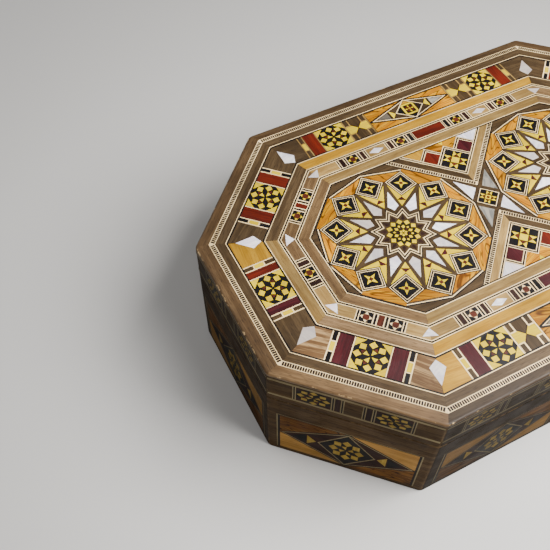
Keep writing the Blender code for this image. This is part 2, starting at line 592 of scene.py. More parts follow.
def side_triangle(spot):
    """The toothed V at the middle of a long side of the panel, its point towards the lid's middle."""
    root2 = sqrt(2)
    apex = 9.5
    edge = 46.0  # a little under the border strings, which cover the end

    def vee(depth):
        y = apex + depth * root2
        return [(0, y), (edge - y, edge), (y - edge, edge)]

    spot.lay("ebony", vee(-0.45))
    spot.up().lay("cream", vee(0))
    length = (edge - apex) * root2
    for way, wood in ((1, "hazel"), (-1, "walnut_dark")):
        arm = spot.up(2).move(0, apex, stretch=(way, 1)).move(0, 0, turn=45)
        toothed(arm.move(0, 1.18), 1.9 if way > 0 else 0.5, length - 1.4, 2.3, 1.28)
        near, far = 2.38, 6.15
        board = [(near, near), (length - near, near), (length - far, far), (far, far)]
        arm.lay(wood, board, rng.uniform(-2, 2))
    rings = (("cream", 0.4), ("ebony", 0.75), ("cream", 0.45), ("ebony", 0))
    inner = nest(spot.up(3), vee(6.2), rings)

    # What the V holds, measured along its two arms from the inner point
    start = apex + 7.8 * root2
    end = (edge - start) * root2
    frame_width = 1.7
    block = 13.4
    block_end = block + frame_width
    red_end = 22.9 + frame_width
    double_frame = (("cream", 0), ("ebony", 0.42), ("cream", 1.26))
    for side, wood, far in zip(inner.both_ways(), ("padauk", "maroon"), ("golden", "pearl")):
        arms = side.move(0, start, turn=45)
        clear = block_end + 0.1
        fork = end / 2 - 0.05
        olive = [(9.6, clear), (clear, clear), (fork, fork), (end - red_end, red_end), (9.6, red_end)]
        arms.lay("olive", olive, 120)
        far_start = red_end + 0.2
        arms.lay(far, [(0.1, far_start), (end - far_start, far_start), (0.1, end)], 60)
        for step, (frame_wood, less) in enumerate(double_frame + ((wood, frame_width),)):
            frame_end = red_end - less
            arms.up(step).lay(frame_wood, rectangle(0, frame_end - block_end, block_end, frame_end), 45)
    inner.up().lay("lemon", [(0, 42.4), (2.0, edge), (-2.0, edge)], 90)
    arms = inner.move(0, start, turn=45)
    for step, (wood, less) in enumerate(double_frame):
        frame_end = block_end - less
        arms.up(step).lay(wood, rectangle(0, frame_end, 0, frame_end))
    nine_block(arms.up(3).move(block / 2, block / 2), block / 2)


def middle_diamond(spot):
    """The small block between the two stars, and the pearl triangles round it."""
    for way, right in zip(spot.both_ways(), (True, False)):
        for up in (1, -1):
            wood = "pearl_grey" if right == (up > 0) else "pearl"
            way.move(0, stretch=(1, up)).lay(wood, [(10.2, 17.6), (8.0, 2.4), (2.0, 8.2)], 70)
    side = 7.75 / sqrt(2)
    square = rectangle(-side, side, -side, side)
    top = nest(spot.up().move(0, turn=45), square, (("ebony", 0.45), ("cream", 0.4)))
    nine_block(top, side - 0.85)
    top.up(2).lay("rosewood", rectangle(-0.75, 0.75, -0.75, 0.75), 20)


def second_border_wood(number):
    side = SIDES[number]
    if side in LONG_SIDES:
        return "golden"
    if side in END_SIDES:
        return "hazel"
    return "walnut_mid" if side.startswith("back") else "walnut"


def panel_border_wood(number):
    return "hazel" if SIDES[number] in LONG_SIDES else "walnut_warm"


def lid_top():
    ring(*TEETH, "cream", BORDER_LAYER)
    middle = sum(TEETH) / 2
    for number in range(8):
        half = reach(number, middle)
        toothed(band_side(number).move(0, middle).up(BORDER_LAYER + 1), -half, half, 2.6, 1.2)
    ring(*OUTER_BORDER, "walnut_mid", BORDER_LAYER)
    for edge, way in zip(WIDE_BAND, (-1, 1)):
        dark = edge + way * BLACK_STRING
        white = dark + way * WHITE_STRING
        ring(min(edge, dark), max(edge, dark), "ebony", BORDER_LAYER)
        ring(min(dark, white), max(dark, white), "cream", BORDER_LAYER)
    ring(*SECOND_BORDER, second_border_wood, BORDER_LAYER)
    for start in TRIPLE_LINES:
        dark = start + WHITE_STRING
        white = dark + MIDDLE_STRING
        ring(start, dark, "cream", BORDER_LAYER)
        ring(dark, white, "ebony", BORDER_LAYER)
        ring(white, white + WHITE_STRING, "cream", BORDER_LAYER)
    ring(*PANEL_BORDER, panel_border_wood, PANEL_EDGE_LAYER)
    start, end = PANEL_STRINGS
    ring(start, start + WHITE_STRING, "cream", PANEL_EDGE_LAYER)
    ring(start + WHITE_STRING, end, "ebony", PANEL_EDGE_LAYER)
    for number in range(8):
        wide_band(number)
        narrow_band(number)
        corner_shells(number)
    panel = Spot(("lid_top", 0))
    panel.lay("walnut_dark", PATTERN.corners(end - PANEL_LAP))
    for way in panel.both_ways():
        panel_star(way.move(STAR_PLACE).up())
    for turn in (0, 180):
        side_triangle(panel.move(0, turn=turn).up(3))
    middle_diamond(panel.up(6))


# Walls


def wall_panel(spot, half_length, half_height):
    """The framed field of a body wall: a long rhombus with a leaning rosette at its heart."""
    end = half_length + 0.9
    edge = half_height + 0.3
    spot.lay("ebony", rectangle(-end, end, -edge, edge))
    for way in spot.both_ways():
        way.lay("cream_aged", rectangle(end + 0.05, end + 0.7, -edge, edge + 0.6), 90)
        way.lay("cream_aged", rectangle(0, end, edge + 0.05, edge + 0.45))
    for x, y in ((-1, 1), (1, 1), (-1, -1), (1, -1)):
        wood = "golden_aged" if x == y else "olive_dark"
        corner = [(x * half_length, y * 0.2), (x * half_length, y * half_height), (x * 0.8, y * half_height)]
        spot.up().lay(wood, shrink(corner, 0.15), rng.uniform(-6, 6))
    rings = (("ebony", 0.35), ("cream_aged", 0.6), ("rosewood_dark", 0))
    inner = nest(spot.up(), diamond(half_length, half_height), rings, 5)
    heart_half = half_length * 0.43
    for side in inner.both_ways():
        base = half_length * 0.585
        side.lay("lemon_aged", [(base, -5.0), (base, 5.0), (heart_half + 0.6, 0)], 90)
        side.lay("ebony", [(base + 0.6, -5.6), (half_length - 6.5, 0), (base + 0.6, 5.6)], 0)
    heart = nest(inner.up(), diamond(heart_half, half_height - 0.5), (("cream_aged", 0.7), ("ebony", 0)))
    scale = 0.86 / 8.1
    across = (heart_half / 2 * scale, (half_height - 0.5) / 2 * scale)
    leaning = heart.lean(across, (-across[0], across[1]))
    for step in range(8):
        angle = 45 * step
        leaning.move(*polar(5.9, angle), turn=angle).lay("lemon_aged", diamond(2.25, 2.25), 45)
    for step in range(4):
        leaning.move(0, turn=67.5 + 90 * step).lay("lemon_aged", [(0.5, 0), (3.2, -1.3), (3.4, 1.1)], 45)


def body_wall(number):
    side = SIDES[number]
    half = BOX.side(number)[2]
    spot = Spot(("body_side", number)).move(0, PANEL_MIDDLE)
    if side in LONG_SIDES:
        for way in spot.both_ways():
            wall_panel(way.move(LONG_PANEL_PLACE), LONG_PANEL_HALF, PANEL_HALF)
        spot.lay("ebony", rectangle(-12.7, 12.7, -PANEL_HALF - 0.3, PANEL_HALF + 0.3))
        for way in spot.up().both_ways():
            way.lay("olive_dark", rectangle(7.0, 12.5, -PANEL_HALF, PANEL_HALF), 85)
        field = rectangle(-6.6, 6.6, -PANEL_HALF, PANEL_HALF)
        nest(spot.up(), field, (("cream_aged", 0.5), ("walnut_dark", 0)), 90)
        nest(spot.up(3), diamond(5.8, 15.0), (("lemon_aged", 1.2), ("ebony", 0.8), ("maroon", 0)), 90)
    else:
        wall_panel(spot, half - PANEL_SIDE, PANEL_HALF)


def lid_wall(number):
    side = SIDES[number]
    half = BOX.side(number)[2]
    spot = Spot(("lid_side", number))
    corner = half - 0.5
    for y in LID_STRINGS:
        spot.lay("cream_aged", rectangle(-corner, corner, y - LID_STRING_HALF, y + LID_STRING_HALF))
    place = spot.move(0, LID_PANEL_MIDDLE)

    def upright(at, wood, near, far):
        at.lay(wood, rectangle(near, far, -LID_PANEL_HALF, LID_PANEL_HALF), 90)

    def triple(at, near, far):
        string = (far - near) * 0.3
        upright(at, "cream_aged", near, far)
        upright(at.up(), "ebony", near + string, far - string)

    block_half = 8.2
    near, far = block_half + 0.1, block_half + 1.8
    for way in place.both_ways():
        for middle in LONG_BLOCKS if side in LONG_SIDES else SHORT_BLOCKS:
            rosette(way.move(middle), block_half, LID_PANEL_HALF, "rosewood_dark", "lemon_aged")
            triple(way, middle + near, middle + far)
            triple(way, middle - far, middle - near)
        if side in LONG_SIDES:
            upright(way, "rosewood_dark", 59.0, 61.2)
            triple(way, 57.2, 58.9)
            triple(way, 40.0, 41.7)
            upright(way, "rosewood_dark", 16.8, 19.4)
            triple(way, 15.0, 16.7)
        else:
            upright(way, "rosewood_dark", 6.0, 8.5)
            triple(way, 4.2, 5.9)


# Cutting the tiles


def face_matrix(face):
    """From a face's own plane to the box, in metres."""
    part, number = face
    scale = Matrix.Scale(MM, 4)
    if part == "lid_top":
        return scale @ Matrix.Translation((0, 0, HEIGHT - GROUND))
    middle, along, _ = BOX.side(number, WALL_GROUND)
    up = Vector((0, 0, 1))
    run = Vector((along.x, along.y, 0))
    turn = Matrix((run, up, run.cross(up))).transposed().to_4x4()
    return scale @ Matrix.Translation((middle.x, middle.y, 0)) @ turn


def thicken(bm, depth):
    """Make closed solids of the flat faces in bm and return the faces on top."""
    grown = bmesh.ops.extrude_face_region(bm, geom=bm.faces[:])["geom"]
    moved = [item for item in grown if isinstance(item, bmesh.types.BMVert)]
    bmesh.ops.translate(bm, verts=moved, vec=(0, 0, depth))
    bmesh.ops.recalc_face_normals(bm, faces=bm.faces)
    return [item for item in grown if isinstance(item, bmesh.types.BMFace)]


def cut_tiles(tiles, face, rim):
    """All tiles of one wood on one face, as closed solids with a slightly crowned top."""
    part, number = face
    bm = bmesh.new()
    grain_map = bm.loops.layers.uv.new("grain")
    tone_and_shade = bm.faces.layers.float.new("tone_and_shade")
    edge = bm.verts.layers.float.new("rim")
    for points, layer, along in tiles:
        if signed_area(points) < 0:
            points = points[::-1]
        height = layer * LAYER - TILE_DEPTH
        tile = bm.faces.new([bm.verts.new((point.x, point.y, height)) for point in points])
        # On the lid the tone is random; on the walls it is the side's painted shade with a little random
        # tone added
        tile[tone_and_shade] = rng.random() if part == "lid_top" else WALL_PAINTED_SHADE[number] + rng.uniform(-0.1, 0.1)
        start = Vector((rng.uniform(0, 4), rng.uniform(0, 4)))
        for loop in tile.loops:
            x, y = loop.vert.co.xy
            grain = Vector((x * along.x + y * along.y, y * along.x - x * along.y))
            loop[grain_map].uv = start + grain * MM
    for vert in bm.verts:
        vert[edge] = 1.0
    tops = thicken(bm, TILE_DEPTH)
    bmesh.ops.inset_individual(
        bm,
        faces=tops,
        thickness=rim,
        depth=CROWN,
        use_even_offset=True,
        use_interpolate=True,
    )
    for top in tops:
        for vert in top.verts:
            vert[edge] = 0.0
    return bm


def add_piece(name, bm, wood, place):
    """A piece of one wood on the lid's top or on the walls."""
    mesh = bpy.data.meshes.new(name)
    bm.to_mesh(mesh)
    bm.free()
    mesh.materials.append(wood_material(wood, place))
    piece = bpy.data.objects.new(name, mesh)
    bpy.context.scene.collection.objects.link(piece)
    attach(piece, "root")
    return piece


def make_tiles():
    """One piece for each wood on each part of the box."""
    for (part, wood), faces in sorted(trays.items()):
        whole = bmesh.new()
        for face, tiles in sorted(faces.items()):
            bm = cut_tiles(tiles, face, THIN_RIM if wood in NARROW_WOODS else GLUE_RIM)
            bmesh.ops.transform(bm, matrix=face_matrix(face), verts=bm.verts)
            loose = bpy.data.meshes.new("loose")
            bm.to_mesh(loose)
            bm.free()
            whole.from_mesh(loose)
            bpy.data.meshes.remove(loose)
        add_piece(f"{part}_{wood}_tiles", whole, wood, "lid_top" if part == "lid_top" else "walls")


# Walnut grounds and borders


def grain_along(bm, side_shading):
    """Give every face a grain that runs along its side of the box, and that side's painted light and shade
    as its tone.
    """
    grain_map = bm.loops.layers.uv.new("grain")
    tone_and_shade = bm.faces.layers.float.new("tone_and_shade")
    bm.verts.layers.float.new("rim")
    starts = [(rng.uniform(0, 4), rng.uniform(0, 4), shade) for shade in side_shading]
    for face in bm.faces:
        number = nearest_side(face.calc_center_median() / MM)
        _, along, _ = BOX.side(number)
        u, v, shade = starts[number]
        face[tone_and_shade] = shade
        flat = abs(face.normal.z) > 0.7
        for loop in face.loops:
            x, y, z = loop.vert.co
            inward = y * along.x - x * along.y
            loop[grain_map].uv = (u + x * along.x + y * along.y, v + (inward if flat else z))


def nearest_side(point):
    distances = []
    for number in range(8):
        middle, along, _ = BOX.side(number)
        out = Vector((along.y, -along.x))
        distances.append(out.dot(point.to_2d() - middle))
    return distances.index(max(distances))


def octagon_ring(outer, inner, bottom, top):
    """A ring of eight boards between two outlines, as one closed solid."""
    bm = bmesh.new()
    for number in range(8):
        after = (number + 1) % 8
        plan = [outer[number], outer[after], inner[after], inner[number]]
        bm.faces.new([bm.verts.new((x, y, bottom)) for x, y in plan])
    bmesh.ops.remove_doubles(bm, verts=bm.verts, dist=0.001)
    thicken(bm, top - bottom)
    return bm


def outline_distance(point):
    x, y = abs(point.x), abs(point.y)
    return min(
        BOX.half_length - x,
        BOX.half_width - y,
        (BOX.half_length + BOX.half_width - BOX.cut - x - y) / sqrt(2),
    )


def round_edges(bm, radius, steps, levels=()):
    """Round a ring's outer edges: the upright ones, or the level ones at the given heights."""
    chosen = []
    for edge in bm.edges:
        ends = [vert.co for vert in edge.verts]
        if any(outline_distance(end) >= OUTSIDE for end in ends):
            continue
        low, high = sorted(end.z for end in ends)
        upright = high - low > 1
        level = high - low < SAME_HEIGHT and any(abs(low - height) < SAME_HEIGHT for height in levels)
        wanted = level if levels else upright
        if wanted:
            chosen.append(edge)
    bmesh.ops.bevel(
        bm,
        geom=chosen,
        offset=radius,
        affect="EDGES",
        segments=steps,
        profile=0.5,
        material=-1,
    )


def add_skin(name, bm, side_shading, wood, place):
    """Turn a skin drawn in millimetres into a piece in metres, with grain along each side."""
    bmesh.ops.scale(bm, vec=(MM, MM, MM), verts=bm.verts)
    grain_along(bm, side_shading)
    return add_piece(name, bm, wood, place)


def walnut_skins():
    """The plain wood that carries the tiles: the lid's border and ground, and the skins of the walls."""
    border = octagon_ring(BOX.corners(), PATTERN.corners(TEETH[0]), HEIGHT - VENEER, HEIGHT)
    round_edges(border, LID_CORNER_ROUND, 3)
    round_edges(border, LID_ARRIS_ROUND, 4, (HEIGHT,))
    # The border's tone for each side is painted light and shade
    add_skin("lid_top_border", border, BORDER_PAINTED_SHADE, "walnut_worn", "lid_top")

    ground = bmesh.new()
    edge = PATTERN.corners(TEETH[0] - 0.1)
    ground.faces.new([ground.verts.new((x, y, HEIGHT - VENEER)) for x, y in edge])
    thicken(ground, VENEER - GROUND - 0.01)
    # The ground takes the border's painted light and shade too
    piece = add_skin("lid_top_ground", ground, BORDER_PAINTED_SHADE, "ebony", "lid_top")
    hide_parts("lid_top_veneer")

    seam_levels = {"body": (0.0, SEAM), "lid": (SEAM + SEAT_GAP,)}
    for part, bottom, top in (("body", 0.0, SEAM), ("lid", SEAM + SEAT_GAP, HEIGHT - VENEER)):
        skin = octagon_ring(BOX.corners(WALL_GROUND + 0.01), BOX.corners(VENEER), bottom, top)
        round_edges(skin, WALL_CORNER_ROUND, 3)
        round_edges(skin, SEAM_ROUND, 2, seam_levels[part])
        # The walls' tone for each side is painted shade
        piece = add_skin(f"{part}_wall_skin", skin, WALL_PAINTED_SHADE, "walnut_wall", "walls")
        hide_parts(*[f"{part}_veneer_{side}" for side in SIDES])


# Materials

FLOAT = "NodeSocketFloat"
COLOR = "NodeSocketColor"
VECTOR = "NodeSocketVector"

ARRIS_WEAR = 0.0032  # how far from the lid's arris it is rubbed
CORNER_WEAR = 0.0022  # how far from the walls' corners and the seam they are rubbed
RUBBED = (214, 182, 132)
# rubbed colour on the walls: real wear, kept darker than RUBBED as painted shade of the walls
RUBBED_WALL_SHADED = (120, 96, 64)
WALL_SHADE_SPREAD = 0.9  # how strongly the painted shade of a side shows in its woods

WOODS = {
    # name: title, then the pale, deep and vein colours
    "walnut": ("walnut", (139, 112, 80), (107, 84, 57), (65, 46, 28)),
    "walnut_mid": ("brown walnut", (81, 65, 44), (61, 47, 30), (37, 25, 14)),
    "walnut_warm": ("warm walnut", (116, 92, 62), (90, 69, 45), (54, 38, 23)),
    "walnut_worn": ("worn walnut", (104, 82, 56), (81, 61, 39), (46, 32, 19)),
    # a darker copy of walnut for the walls: painted shade
    "walnut_wall": ("walnut walls", (78, 59, 36), (56, 41, 23), (30, 20, 12)),
    "walnut_dark": ("dark walnut", (72, 56, 36), (53, 40, 24), (27, 19, 11)),
    "streaked": ("streaked pale walnut", (170, 139, 96), (98, 72, 46), (66, 46, 28)),
    "hazel": ("hazel wood", (151, 124, 73), (124, 97, 53), (85, 63, 33)),
    "golden": ("satin wood", (172, 131, 36), (146, 105, 22), (104, 69, 15)),
    "olive": ("olive wood", (198, 141, 4), (164, 104, 3), (70, 34, 5)),
    "olive_dark": ("streaked olive wood", (118, 80, 30), (83, 51, 16), (30, 16, 8)),
    "lemon": ("lemon wood", (214, 188, 8), (194, 162, 6), (144, 108, 8)),
    "padauk": ("orange-red wood", (98, 29, 12), (69, 17, 7), (41, 10, 6)),
    "maroon": ("maroon wood", (70, 23, 28), (47, 14, 18), (23, 7, 9)),
    "rosewood": ("red-brown wood", (88, 40, 24), (60, 24, 15), (31, 12, 8)),
    "rosewood_dark": ("dark red-brown wood", (48, 27, 21), (31, 16, 13), (16, 9, 8)),
    "ebony": ("black wood", (22, 19, 20), (11, 10, 11), (5, 5, 5)),
    "tooth": ("brown teeth", (43, 31, 21), (26, 18, 13), (14, 9, 7)),
    "cream": ("white string", (238, 213, 166), (226, 196, 142), (174, 142, 94)),
    # darker copies of cream, lemon and satin wood for the walls: partly age, partly painted shade
    "cream_aged": ("darkened string", (130, 117, 86), (106, 92, 64), (68, 57, 38)),
    "lemon_aged": ("darkened lemon wood", (152, 128, 58), (126, 102, 42), (84, 64, 28)),
    "golden_aged": ("darkened satin wood", (160, 121, 62), (132, 96, 44), (90, 60, 26)),
    "carcass": ("carcass boards", (170, 130, 84), (132, 94, 56), (86, 58, 34)),
}
GRAIN = {
    # name: strength of bands, veins and pores, spread of tone and roughness
    "walnut": (0.75, 0.15, 0.8, 0.3, 0.38),
    "walnut_mid": (0.75, 0.15, 0.8, 0.3, 0.38),
    "walnut_warm": (0.75, 0.15, 0.8, 0.3, 0.38),
    "walnut_worn": (0.75, 0.15, 0.8, 1.1, 0.42),
    "walnut_wall": (0.75, 0.2, 0.8, 1.2, 0.4),
    "walnut_dark": (0.7, 0.1, 0.7, 0.35, 0.38),
    "streaked": (1.0, 0.3, 0.6, 0.3, 0.38),
    "hazel": (0.7, 0.15, 0.6, 0.5, 0.38),
    "golden": (0.6, 0.1, 0.4, 0.3, 0.36),
    "olive": (0.85, 0.85, 0.4, 0.5, 0.36),
    "olive_dark": (0.9, 0.9, 0.3, 0.9, 0.4),
    "lemon": (0.5, 0.08, 0.25, 0.25, 0.36),
    "padauk": (0.6, 0.1, 0.5, 0.3, 0.38),
    "maroon": (0.6, 0.15, 0.5, 0.25, 0.38),
    "rosewood": (0.6, 0.15, 0.5, 0.3, 0.38),
    "rosewood_dark": (0.6, 0.1, 0.5, 0.3, 0.38),
    "ebony": (0.5, 0.0, 0.5, 0.3, 0.34),
    "tooth": (0.5, 0.0, 0.4, 0.6, 0.38),
    "cream": (0.4, 0.0, 0.3, 0.14, 0.36),
    "cream_aged": (0.5, 0.0, 0.4, 0.9, 0.4),
    "lemon_aged": (0.5, 0.08, 0.25, 0.9, 0.4),
    "golden_aged": (0.6, 0.1, 0.4, 0.9, 0.4),
    "carcass": (0.7, 0.1, 0.6, 0.0, 0.45),
}
PEARLS = {
    # name: title, then the white, blush, cool and tan colours
    "pearl": (
        "mother-of-pearl",
        (254, 252, 250),
        (240, 220, 224),
        (218, 214, 228),
        (222, 200, 176),
    ),
    "pearl_grey": (
        "grey mother-of-pearl",
        (150, 145, 134),
        (134, 120, 112),
        (110, 110, 106),
        (118, 106, 88),
    ),
}


def new_group(name, inputs, outputs):
    tree = bpy.data.node_groups.new(name, "ShaderNodeTree")
    for label, kind in inputs:
        tree.interface.new_socket(label, in_out="INPUT", socket_type=kind)
    for label, kind in outputs:
        tree.interface.new_socket(label, in_out="OUTPUT", socket_type=kind)
    return tree, tree.nodes.new("NodeGroupInput"), tree.nodes.new("NodeGroupOutput")


class Graph:
    """Short ways to add nodes to one tree."""

    def __init__(self, tree):
        self.tree = tree

    def node(self, kind, **values):
        made = self.tree.nodes.new(kind)
        for name, value in values.items():
            setattr(made, name, value)
        return made

    def feed(self, socket, value):
        if hasattr(value, "is_output"):
            self.tree.links.new(value, socket)
        else:
            socket.default_value = value

    def math(self, operation, *values, clamp=False):
        made = self.node("ShaderNodeMath", operation=operation, use_clamp=clamp)
        for socket, value in zip(made.inputs, values):
            self.feed(socket, value)
        return made.outputs[0]

    def stretch(self, vector, scale):
        made = self.node("ShaderNodeVectorMath", operation="MULTIPLY")
        self.feed(made.inputs[0], vector)
        made.inputs[1].default_value = scale
        return made.outputs[0]

    def noise(self, vector, scale=1.0, detail=3.0, roughness=0.55, distortion=0.0):
        made = self.node("ShaderNodeTexNoise")
        self.feed(made.inputs["Vector"], vector)
        self.feed(made.inputs["Scale"], scale)
        made.inputs["Detail"].default_value = detail
        made.inputs["Roughness"].default_value = roughness
        made.inputs["Distortion"].default_value = distortion
        return made.outputs[0]

    def fit(self, value, low, high, to_low=0.0, to_high=1.0, smooth=True):
        made = self.node("ShaderNodeMapRange", interpolation_type="SMOOTHSTEP" if smooth else "LINEAR")
        for socket, number in zip(made.inputs, (value, low, high, to_low, to_high)):
            self.feed(socket, number)
        return made.outputs[0]

    def mix(self, share, first, second, blend="MIX"):
        made = self.node("ShaderNodeMix", data_type="RGBA", blend_type=blend)
        self.feed(made.inputs[0], share)
        self.feed(made.inputs[6], first)
        self.feed(made.inputs[7], second)
        return made.outputs[2]

    def attribute(self, name):
        return self.node("ShaderNodeAttribute", attribute_name=name).outputs["Fac"]

    def place(self):
        return self.node("ShaderNodeTexCoord").outputs["Object"]


def timber_group():
    """Wood: growth bands, fibres, dark veins and pores along the grain, and a tone for each tile or side,
    which on the walls and the lid's border is painted light and shade.
    """
    tree, given, made = new_group(
        "timber",
        [
            ("Place", VECTOR),
            ("Pale", COLOR),
            ("Deep", COLOR),
            ("Vein", COLOR),
            ("Bands", FLOAT),
            ("Veins", FLOAT),
            ("Pores", FLOAT),
            ("Tone Spread", FLOAT),
            ("Polish", FLOAT),
        ],
        [("Color", COLOR), ("Height", FLOAT), ("Roughness", FLOAT)],
    )
    g = Graph(tree)
    place = given.outputs["Place"]
    bands = g.noise(g.stretch(place, (26, 340, 90)), detail=2, distortion=0.8)
    fibres = g.noise(g.stretch(place, (60, 1900, 300)), detail=3, roughness=0.6)
    wander = g.noise(g.stretch(place, (24, 130, 40)), detail=1, distortion=0.7)
    vein_line = g.math("PINGPONG", g.math("MULTIPLY", wander, 8.0), 0.5)
    veins = g.math("MULTIPLY", g.fit(vein_line, 0.02, 0.13, 1.0, 0.0), given.outputs["Veins"])
    pores = g.fit(g.noise(g.stretch(place, (230, 2400, 500)), detail=1), 0.56, 0.68)
    pores = g.math("MULTIPLY", pores, given.outputs["Pores"])
    band_mix = g.math("MULTIPLY", g.fit(bands, 0.38, 0.62), given.outputs["Bands"])
    fibre_mix = g.math("MULTIPLY", g.fit(fibres, 0.3, 0.7), 0.55)
    depth = g.math("ADD", band_mix, fibre_mix, clamp=True)
    color = g.mix(depth, given.outputs["Pale"], given.outputs["Deep"])
    color = g.mix(veins, color, given.outputs["Vein"])
    color = g.mix(g.math("MULTIPLY", pores, 0.75), color, given.outputs["Vein"])
    # The tone is random on the lid's tiles; on the walls and the lid's border it is the painted light and
    # shade of each side
    off_middle = g.math("SUBTRACT", g.attribute("tone_and_shade"), 0.5)
    shade = g.math("MULTIPLY_ADD", off_middle, given.outputs["Tone Spread"], 1.0)
    rim = g.fit(g.attribute("rim"), 0.15, 1.0, 1.0, 0.42)
    shade = g.math("MULTIPLY", shade, rim)
    patina = g.noise(g.place(), scale=38, detail=4)
    shade = g.math("MULTIPLY", shade, g.fit(patina, 0.3, 0.7, 0.8, 1.14))
    g.feed(made.inputs["Color"], g.mix(1.0, color, shade_color(g, shade), "MULTIPLY"))
    height = g.math("SUBTRACT", g.math("MULTIPLY", fibres, 0.35), pores)
    g.feed(made.inputs["Height"], height)
    smear = g.noise(g.place(), scale=90, detail=3)
    rough = g.math("ADD", given.outputs["Polish"], g.fit(smear, 0.3, 0.7, -0.05, 0.07))
    g.feed(made.inputs["Roughness"], g.math("MULTIPLY_ADD", pores, 0.15, rough, clamp=True))
    return tree


def shade_color(g, value):
    made = g.node("ShaderNodeCombineColor")
    for socket in made.inputs[:3]:
        g.feed(socket, value)
    return made.outputs[0]


def wear_group():
    """Rubbed places along the lid's arris, the upright corners and the seam, from the box's own shape."""
    tree, _, made = new_group("rubbed_edges", [], [("Arris", FLOAT), ("Corners", FLOAT)])
    g = Graph(tree)
    split = g.node("ShaderNodeSeparateXYZ")
    g.feed(split.inputs[0], g.place())
    x = g.math("ABSOLUTE", split.outputs[0])
    y = g.math("ABSOLUTE", split.outputs[1])
    to_end = g.math("SUBTRACT", BOX.half_length * MM, x)
    to_front = g.math("SUBTRACT", BOX.half_width * MM, y)
    corner_sum = (BOX.half_length + BOX.half_width - BOX.cut) * MM
    short_of_corner = g.math("SUBTRACT", corner_sum, g.math("ADD", x, y))
    to_corner = g.math("MULTIPLY", short_of_corner, 1 / sqrt(2))
    inset = g.math("MINIMUM", g.math("MINIMUM", to_end, to_front), to_corner)
    drop = g.math("SUBTRACT", HEIGHT * MM, split.outputs[2])
    away = g.math("SQRT", g.math("ADD", g.math("POWER", inset, 2.0), g.math("POWER", drop, 2.0)))
    patches = g.noise(g.place(), scale=85, detail=5, roughness=0.7)
    chips = g.noise(g.place(), scale=420, detail=3, roughness=0.6)
    mixed = g.math("ADD", g.math("MULTIPLY", patches, 0.65), g.math("MULTIPLY", chips, 0.35))
    near_arris = g.fit(away, 0.0, ARRIS_WEAR, 1.0, 0.0)
    g.feed(made.inputs["Arris"], g.fit(g.math("MULTIPLY", mixed, near_arris), 0.47, 0.56))
    first = g.math("MAXIMUM", to_end, to_corner)
    second = g.math("MAXIMUM", to_front, to_corner)
    to_edge = g.math("MINIMUM", first, second)
    seam = g.math("ABSOLUTE", g.math("SUBTRACT", split.outputs[2], (SEAM + SEAT_GAP / 2) * MM))
    to_edge = g.math("MINIMUM", to_edge, seam)
    near_edge = g.fit(to_edge, 0.0, CORNER_WEAR, 1.0, 0.0)
    g.feed(made.inputs["Corners"], g.fit(g.math("MULTIPLY", mixed, near_edge), 0.42, 0.56))
    return tree


def new_material(name, coat, sheen=0.2):
    material = bpy.data.materials.new(name)
    material.use_nodes = True
    shader = material.node_tree.nodes["Principled BSDF"]
    shader.inputs["Coat Weight"].default_value = coat
    shader.inputs["Coat Roughness"].default_value = 0.22
    shader.inputs["Coat IOR"].default_value = 1.5
    shader.inputs["Specular IOR Level"].default_value = sheen
    return material, shader, Graph(material.node_tree)


def bump(g, shader, height, distance, strength=0.5):
    made = g.node("ShaderNodeBump")
    made.inputs["Strength"].default_value = strength
    made.inputs["Distance"].default_value = distance
    g.feed(made.inputs["Height"], height)
    g.feed(shader.inputs["Normal"], made.outputs[0])


def rgb(red, green, blue):
    """A colour given as it looks on a screen, 0 to 255, turned into linear light."""
    return tuple(((value / 255 + 0.055) / 1.055) ** 2.4 for value in (red, green, blue)) + (1.0,)


def timber_material(title, name, worn=None, dull=False, object_grain=False):
    """One wood of the table. A dull one has no varnish left and follows the painted shade of its side."""
    pale, deep, vein = WOODS[name][1:]
    bands, veins, pores, spread, polish = GRAIN[name]
    if dull:
        material, shader, g = new_material(title, 0.0, 0.05)
        polish += 0.22
        spread = max(spread, WALL_SHADE_SPREAD)
    else:
        material, shader, g = new_material(title, 0.08)
    timber = g.node("ShaderNodeGroup", node_tree=groups["timber"])
    if object_grain:
        g.feed(timber.inputs["Place"], g.place())
    else:
        g.feed(timber.inputs["Place"], g.node("ShaderNodeUVMap", uv_map="grain").outputs[0])
    timber.inputs["Pale"].default_value = rgb(*pale)
    timber.inputs["Deep"].default_value = rgb(*deep)
    timber.inputs["Vein"].default_value = rgb(*vein)
    timber.inputs["Bands"].default_value = bands
    timber.inputs["Veins"].default_value = veins
    timber.inputs["Pores"].default_value = pores
    timber.inputs["Tone Spread"].default_value = spread
    timber.inputs["Polish"].default_value = polish
    color = timber.outputs["Color"]
    if worn:
        rubbed = g.node("ShaderNodeGroup", node_tree=groups["wear"])
        color = g.mix(g.math("MULTIPLY", rubbed.outputs["Arris"], 0.8), color, rgb(*worn))
        color = g.mix(g.math("MULTIPLY", rubbed.outputs["Corners"], 0.6), color, rgb(*worn))
    g.feed(shader.inputs["Base Color"], color)
    g.feed(shader.inputs["Roughness"], timber.outputs["Roughness"])
    bump(g, shader, timber.outputs["Height"], 0.00006)
    return material


